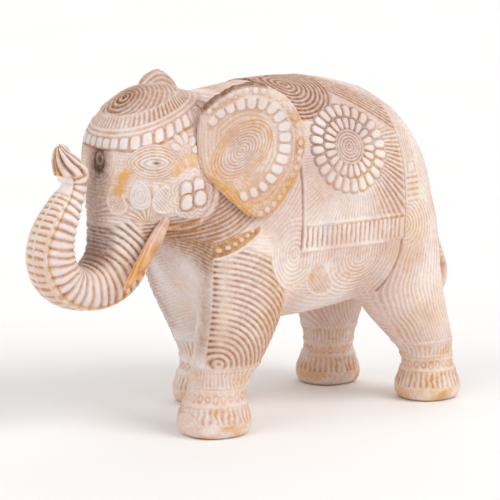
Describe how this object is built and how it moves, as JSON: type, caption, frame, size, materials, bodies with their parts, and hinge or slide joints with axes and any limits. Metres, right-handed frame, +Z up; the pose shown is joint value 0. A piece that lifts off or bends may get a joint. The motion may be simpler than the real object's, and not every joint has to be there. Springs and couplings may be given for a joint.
{
  "type": "elephant figurine",
  "caption": "Standing carved elephant figure with raised trunk, spread ears, tusks and walking legs, with relief patterns over a pale wash.",
  "frame": {"origin": "the middle of the figure's box, on the surface it stands on", "axes": "+Z up, the figure faces -Y, its own left side is +X"},
  "size_m": [0.1594, 0.3757, 0.2559],
  "materials": {
    "whitewashed_wood": "satin, carved, pale wash rubbed back to warm brown in the grooves",
    "honey_wood": "satin, rubbed golden stain",
    "dowel_wood": "bare, matt"
  },
  "bodies": {
    "root": {"torso": "whitewashed_wood", "head": "whitewashed_wood", "trunk": "whitewashed_wood", "ear_left": "whitewashed_wood", "ear_right": "whitewashed_wood", "leg_front_left": "whitewashed_wood", "leg_front_right": "whitewashed_wood", "leg_rear_left": "whitewashed_wood", "leg_rear_right": "whitewashed_wood", "tusk_left": "honey_wood", "tusk_right": "honey_wood", "tail": "whitewashed_wood", "neck_dowel_upper": "dowel_wood", "neck_dowel_lower": "dowel_wood", "trunk_dowel": "dowel_wood", "ear_left_dowel_upper": "dowel_wood", "ear_left_dowel_lower": "dowel_wood", "ear_right_dowel_upper": "dowel_wood", "ear_right_dowel_lower": "dowel_wood", "leg_front_left_dowel_front": "dowel_wood", "leg_front_left_dowel_back": "dowel_wood", "leg_front_right_dowel_front": "dowel_wood", "leg_front_right_dowel_back": "dowel_wood", "leg_rear_left_dowel_front": "dowel_wood", "leg_rear_left_dowel_back": "dowel_wood", "leg_rear_right_dowel_front": "dowel_wood", "leg_rear_right_dowel_back": "dowel_wood"}
  },
  "joints": []
}
